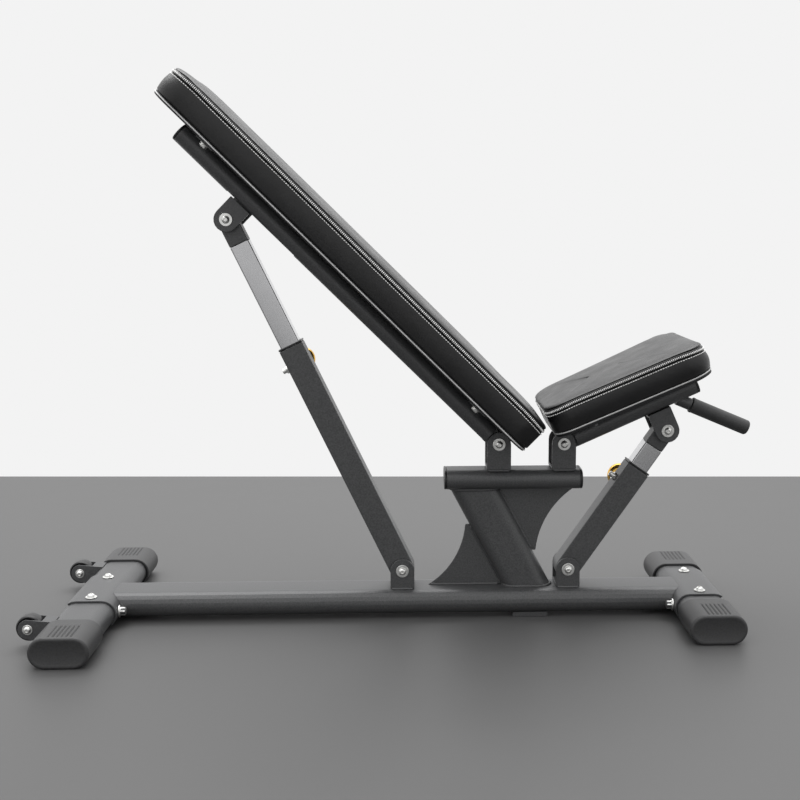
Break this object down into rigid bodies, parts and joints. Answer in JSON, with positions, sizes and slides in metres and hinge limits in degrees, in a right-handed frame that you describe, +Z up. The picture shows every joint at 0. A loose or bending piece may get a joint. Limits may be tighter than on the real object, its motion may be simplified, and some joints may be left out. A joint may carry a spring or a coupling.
{
  "type": "adjustable weight bench",
  "caption": "Adjustable weight bench: padded backrest and seat hinged on a tubular floor frame, each held by a telescopic post with a pull pin; transport wheels at the head end.",
  "frame": {"origin": "bottom centre of the overall box, on the floor", "axes": "+X from the head end with the wheels to the seat end, +Y to the side with the pull pins, +Z up"},
  "size_m": [1.4556, 0.624, 1.099],
  "materials": {
    "black_paint": "satin",
    "chrome": "satin",
    "zinc_bolt": "satin",
    "rubber": "matte",
    "black_plastic": "satin",
    "black_leather": "satin",
    "board": "matte",
    "gold_knob": "polished"
  },
  "bodies": {
    "base": {"main_tube": "black_paint", "rear_cross_tube": "black_paint", "front_cross_tube": "black_paint", "rear_foot_cap_right": "rubber", "rear_foot_cap_left": "rubber", "front_foot_cap_right": "rubber", "front_foot_cap_left": "rubber", "rear_saddle": "black_paint", "front_saddle": "black_paint", "rear_saddle_bolt_right": "zinc_bolt", "rear_saddle_bolt_left": "zinc_bolt", "front_saddle_bolt_right": "zinc_bolt", "front_saddle_bolt_left": "zinc_bolt", "upright_post": "black_paint", "gusset_rear": "black_paint", "gusset_front": "black_paint", "upper_tube": "black_paint", "upper_plug_rear": "black_plastic", "upper_plug_front": "black_plastic", "back_post_base_clevis": "black_paint", "seat_post_base_clevis": "black_paint", "back_hinge_clevis": "black_paint", "seat_hinge_clevis": "black_paint", "back_post_base_bolt": "zinc_bolt", "seat_post_base_bolt": "zinc_bolt", "back_hinge_bolt": "zinc_bolt", "seat_hinge_bolt": "zinc_bolt", "wheel_fork_right": "black_paint", "wheel_fork_left": "black_paint", "wheel_axle_right": "zinc_bolt", "wheel_axle_left": "zinc_bolt"},
    "wheel_right": {"wheel_right": "black_plastic"},
    "wheel_left": {"wheel_left": "black_plastic"},
    "backrest": {"back_frame": "black_paint", "back_frame_plug": "black_plastic", "back_ear_right": "black_paint", "back_ear_left": "black_paint", "back_top_bolt_right": "zinc_bolt", "back_top_bolt_left": "zinc_bolt", "back_board": "board", "back_cushion": "black_leather"},
    "seat": {"seat_frame": "black_paint", "seat_frame_plug": "black_plastic", "handle_grip": "rubber", "seat_post_clevis": "black_paint", "seat_top_bolt": "zinc_bolt", "seat_board": "board", "seat_cushion": "black_leather"},
    "back_post": {"back_post_outer": "black_paint", "back_post_collar": "black_plastic", "back_set_bolt": "zinc_bolt"},
    "back_pull_pin": {"back_pull_pin": "gold_knob"},
    "back_rod": {"back_post_inner": "chrome", "back_post_head": "black_paint"},
    "seat_post": {"seat_post_outer": "black_paint", "seat_post_collar": "black_plastic", "seat_set_bolt": "zinc_bolt"},
    "seat_pull_pin": {"seat_pull_pin": "gold_knob"},
    "seat_rod": {"seat_post_inner": "chrome", "seat_post_head": "black_paint"}
  },
  "joints": [
    {"name": "back_tilt", "type": "hinge", "parent": "base", "child": "backrest", "pos_m": [0.206, 0, 0.359], "axis": [0, 1, 0], "range_deg": [-44.6, 30.4]},
    {"name": "back_post_swing", "type": "hinge", "parent": "base", "child": "back_post", "pos_m": [0.008, 0, 0.096], "axis": [0, 1, 0], "range_deg": [-37.7, 25.7]},
    {"name": "back_post_extend", "type": "slide", "parent": "back_post", "child": "back_rod", "axis": [-0.4323, 0, 0.9017], "range_m": [-0.233, 0.159]},
    {"name": "seat_tilt", "type": "hinge", "parent": "base", "child": "seat", "pos_m": [0.339, 0, 0.359], "axis": [0, 1, 0], "range_deg": [0, 24]},
    {"name": "seat_post_swing", "type": "hinge", "parent": "base", "child": "seat_post", "pos_m": [0.35, 0, 0.096], "axis": [0, 1, 0], "range_deg": [0, 9.3]},
    {"name": "seat_post_extend", "type": "slide", "parent": "seat_post", "child": "seat_rod", "axis": [0.5707, 0, 0.8211], "range_m": [-0.0725, 0]},
    {"name": "back_pin_pull", "type": "slide", "parent": "back_post", "child": "back_pull_pin", "axis": [0, 1, 0], "range_m": [0, 0.01], "stiffness_N_per_m": 800, "springref_m": -0.006},
    {"name": "seat_pin_pull", "type": "slide", "parent": "seat_post", "child": "seat_pull_pin", "axis": [0, 1, 0], "range_m": [0, 0.01], "stiffness_N_per_m": 800, "springref_m": -0.006},
    {"name": "wheel_right_spin", "type": "hinge", "parent": "base", "child": "wheel_right", "pos_m": [-0.7028, -0.186, 0.04], "axis": [0, 1, 0], "continuous": true},
    {"name": "wheel_left_spin", "type": "hinge", "parent": "base", "child": "wheel_left", "pos_m": [-0.7028, 0.186, 0.04], "axis": [0, 1, 0], "continuous": true}
  ],
  "couplings": [
    {"joint": "back_post_swing", "follows": "back_tilt", "ratio": 0.843},
    {"joint": "back_post_extend", "follows": "back_tilt", "m_per_rad": 0.299},
    {"joint": "seat_post_swing", "follows": "seat_tilt", "ratio": 0.385},
    {"joint": "seat_post_extend", "follows": "seat_tilt", "m_per_rad": -0.1728}
  ]
}
